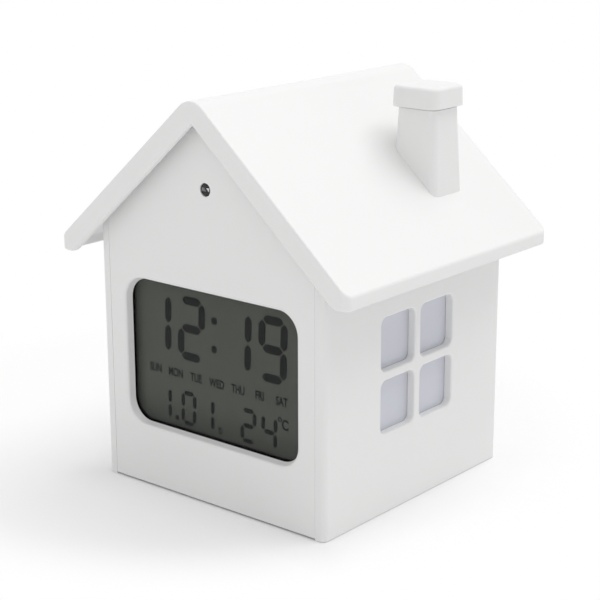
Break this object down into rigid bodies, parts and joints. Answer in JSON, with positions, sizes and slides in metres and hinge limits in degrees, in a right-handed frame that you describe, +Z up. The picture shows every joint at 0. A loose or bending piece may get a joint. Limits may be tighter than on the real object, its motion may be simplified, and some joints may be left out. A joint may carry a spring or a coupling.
{
  "type": "house-shaped desk clock",
  "caption": "Gabled house desk clock with an LCD in the front, lit side windows, rear setting keys, a battery door and a chimney cap that presses down.",
  "frame": {"origin": "on the table under the middle of the house", "axes": "+Z up, the display faces -Y, +X to the right of someone facing the display"},
  "size_m": [0.102, 0.0913, 0.112],
  "materials": {
    "case": "fine satin moulded ABS, white",
    "key": "satin moulded ABS, white",
    "switch": "black moulded plastic",
    "display_window": "clear acrylic sheet",
    "lcd": "dark grey-green display glass under a matt polariser",
    "light_guide": "milky light guide",
    "holder": "grey moulded plastic",
    "zebra": "striped silicone connector",
    "board": "green solder mask on glass laminate",
    "resin": "black resin",
    "steel": "nickel plated steel",
    "lens": "clear resin lens over a dark sensor",
    "diffuser": "milky translucent sheet",
    "lamp": "white LED package",
    "cell": "plain printed sleeve on a metal can"
  },
  "bodies": {
    "house": {"house_shell": "case", "front_panel": "case", "rear_panel": "case", "roof": "case", "chimney_stack": "case", "display_window": "display_window", "lcd_glass": "lcd", "lcd_backlight": "light_guide", "lcd_holder": "holder", "zebra_connector": "zebra", "main_board": "board", "controller_chip": "resin", "clock_crystal": "steel", "temperature_probe": "resin", "light_sensor": "lens", "sounder": "resin", "window_diffuser_left": "diffuser", "window_diffuser_right": "diffuser", "night_light_board_left": "board", "night_light_board_right": "board", "night_light_led_left": "lamp", "night_light_led_right": "lamp", "battery_cell_1": "cell", "battery_cell_2": "cell", "battery_cell_3": "cell", "contact_positive": "steel", "contact_negative": "steel", "contact_link_left": "steel", "contact_link_right": "steel", "key_board": "board", "key_switch_1": "switch", "key_switch_2": "switch", "key_switch_3": "switch", "key_switch_4": "switch", "light_switch_body": "switch", "chimney_spring": "steel", "snooze_board": "board", "snooze_switch": "switch", "rear_screw_1": "steel", "rear_screw_2": "steel", "rear_screw_3": "steel", "rear_screw_4": "steel", "roof_screw_1": "steel", "roof_screw_2": "steel", "roof_screw_3": "steel", "roof_screw_4": "steel", "board_screw_1": "steel", "board_screw_2": "steel", "board_screw_3": "steel", "board_screw_4": "steel", "key_board_screw_1": "steel", "key_board_screw_2": "steel"},
    "snooze_key": {"chimney_cap": "case", "retaining_clip": "steel"},
    "battery_flap": {"battery_door": "case"},
    "set_key_1": {"set_button_1": "key"},
    "set_key_2": {"set_button_2": "key"},
    "set_key_3": {"set_button_3": "key"},
    "set_key_4": {"set_button_4": "key"},
    "light_slider": {"light_switch_knob": "switch"}
  },
  "joints": [
    {"name": "snooze_press", "type": "slide", "parent": "house", "child": "snooze_key", "axis": [0, 0, -1], "range_m": [0, 0.0004], "stiffness_N_per_m": 300, "springref_m": -0.002, "deforming": ["chimney_spring"]},
    {"name": "battery_flap_hinge", "type": "hinge", "parent": "house", "child": "battery_flap", "pos_m": [0, 0.0391, 0.01225], "axis": [-1, 0, 0], "range_deg": [0, 90]},
    {"name": "set_key_1_press", "type": "slide", "parent": "house", "child": "set_key_1", "axis": [0, -1, 0], "range_m": [0, 0.0005], "stiffness_N_per_m": 400, "springref_m": -0.001},
    {"name": "set_key_2_press", "type": "slide", "parent": "house", "child": "set_key_2", "axis": [0, -1, 0], "range_m": [0, 0.0005], "stiffness_N_per_m": 400, "springref_m": -0.001},
    {"name": "set_key_3_press", "type": "slide", "parent": "house", "child": "set_key_3", "axis": [0, -1, 0], "range_m": [0, 0.0005], "stiffness_N_per_m": 400, "springref_m": -0.001},
    {"name": "set_key_4_press", "type": "slide", "parent": "house", "child": "set_key_4", "axis": [0, -1, 0], "range_m": [0, 0.0005], "stiffness_N_per_m": 400, "springref_m": -0.001},
    {"name": "light_slide", "type": "slide", "parent": "house", "child": "light_slider", "axis": [1, 0, 0], "range_m": [-0.0015, 0.0015]}
  ]
}
